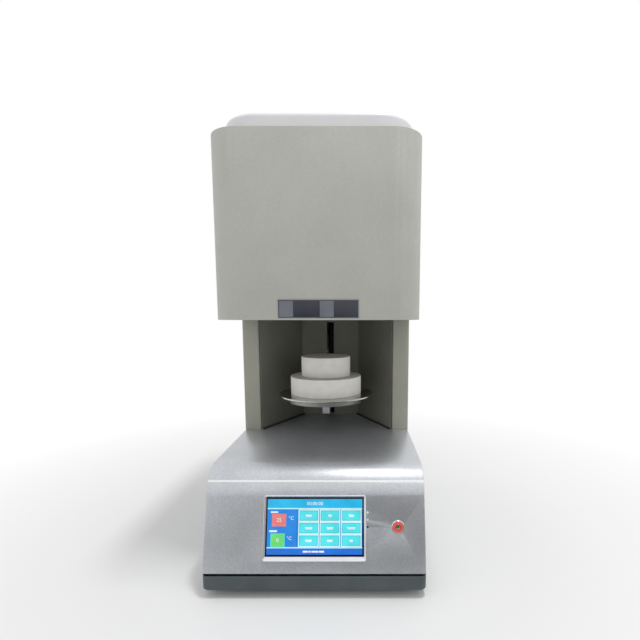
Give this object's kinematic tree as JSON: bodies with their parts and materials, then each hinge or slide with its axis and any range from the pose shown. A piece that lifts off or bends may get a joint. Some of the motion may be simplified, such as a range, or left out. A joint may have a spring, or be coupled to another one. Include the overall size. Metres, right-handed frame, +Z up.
{
  "type": "dental sintering furnace",
  "caption": "Bench-top bottom-loading sintering furnace: hearth table on a screw lift rises into a fibre-lined chamber; sloping touch panel below.",
  "frame": {"origin": "on the bench, under the middle of the furnace's bounding box", "axes": "+X to the furnace's right as seen from the front, +Y to the rear, +Z up; the control panel faces -Y"},
  "size_m": [0.37, 0.54, 0.812],
  "materials": {
    "rubber": "moulded rubber",
    "plinth_paint": "dark slate powder coat",
    "zinc_steel": "zinc-plated sheet",
    "white_trim": "extruded light strip",
    "silver_paint": "metallic silver fine-texture paint",
    "putty_paint": "warm grey textured powder coat",
    "white_paint": "white powder coat",
    "display_bezel": "satin silver moulding",
    "screen": "glossy touch display, lit",
    "black_plastic": "moulded plastic",
    "lamp": "indicator lens",
    "chrome": "polished",
    "red_ring": "red lit ring",
    "core_steel": "laminated core and taped coil",
    "aluminium": "machined",
    "board": "printed circuit board",
    "bright_steel": "ground bright steel",
    "dark_steel": "black painted motor",
    "brass": "turned brass",
    "polished_alloy": "turned and polished",
    "fibre_board": "rigid alumina fibre board, white",
    "silicide": "dark glazed silicide rod",
    "alumina": "fired alumina",
    "trim_plate": "printed plain colour fields"
  },
  "bodies": {
    "root": {"feet": "rubber", "plinth": "plinth_paint", "base_pan": "zinc_steel", "trim_strip": "white_trim", "front_panel": "silver_paint", "base_cover": "silver_paint", "base_rear_panel": "putty_paint", "display_frame": "display_bezel", "display_glass": "screen", "display_module": "black_plastic", "indicator_lamps": "lamp", "button_housing": "chrome", "button_ring": "red_ring", "transformer": "core_steel", "power_supply": "zinc_steel", "heat_sink": "aluminium", "power_relay": "black_plastic", "control_board": "board", "column_left": "putty_paint", "column_right": "putty_paint", "recess_liner": "putty_paint", "column_rear_cover": "putty_paint", "uprights": "zinc_steel", "lower_bracket": "aluminium", "upper_bracket": "aluminium", "guide_rods": "bright_steel", "screw_bearings": "bright_steel", "motor_bracket": "zinc_steel", "lift_motor": "dark_steel", "housing_shell": "putty_paint", "housing_floor": "zinc_steel", "housing_top": "putty_paint", "top_cap": "white_paint", "housing_rear_cover": "putty_paint", "insulation_ring": "fibre_board", "insulation_wall": "fibre_board", "insulation_roof": "fibre_board", "chamber_casing": "zinc_steel", "heating_elements": "silicide", "element_holders": "alumina", "element_straps": "aluminium", "thermocouple": "alumina", "trim_plate": "trim_plate", "fan_frame": "black_plastic", "fan_guard": "bright_steel", "mains_inlet": "black_plastic", "switch_housing": "black_plastic", "rear_screws": "bright_steel"},
    "lift": {"carriage": "aluminium", "slide_bushings": "bright_steel", "lift_nut": "brass", "lift_arm": "aluminium", "table_plate": "polished_alloy", "hearth_lower": "fibre_board", "hearth_upper": "fibre_board"},
    "screw": {"lead_screw": "bright_steel", "shaft_coupling": "aluminium"},
    "power_button": {"button_cap": "chrome"},
    "fan": {"fan_rotor": "black_plastic"},
    "rocker": {"switch_rocker": "black_plastic"}
  },
  "joints": [
    {"name": "lift_slide", "type": "slide", "parent": "root", "child": "lift", "axis": [0, 0, 1], "range_m": [-0.03, 0.163]},
    {"name": "screw_turn", "type": "hinge", "parent": "root", "child": "screw", "pos_m": [0, 0.218, 0.3], "axis": [0, 0, 1], "range_deg": [-1360, 7350]},
    {"name": "button_push", "type": "slide", "parent": "root", "child": "power_button", "axis": [0, 0.9636, -0.2672], "range_m": [0, 0.003], "stiffness_N_per_m": 400},
    {"name": "fan_spin", "type": "hinge", "parent": "root", "child": "fan", "pos_m": [-0.106, 0.25, 0.118], "axis": [0, 1, 0], "continuous": true},
    {"name": "rocker_tip", "type": "hinge", "parent": "root", "child": "rocker", "pos_m": [0.112, 0.261, 0.1475], "axis": [1, 0, 0], "range_deg": [-16, 0]}
  ],
  "couplings": [
    {"joint": "screw_turn", "follows": "lift_slide", "rad_per_m": 785.4}
  ]
}
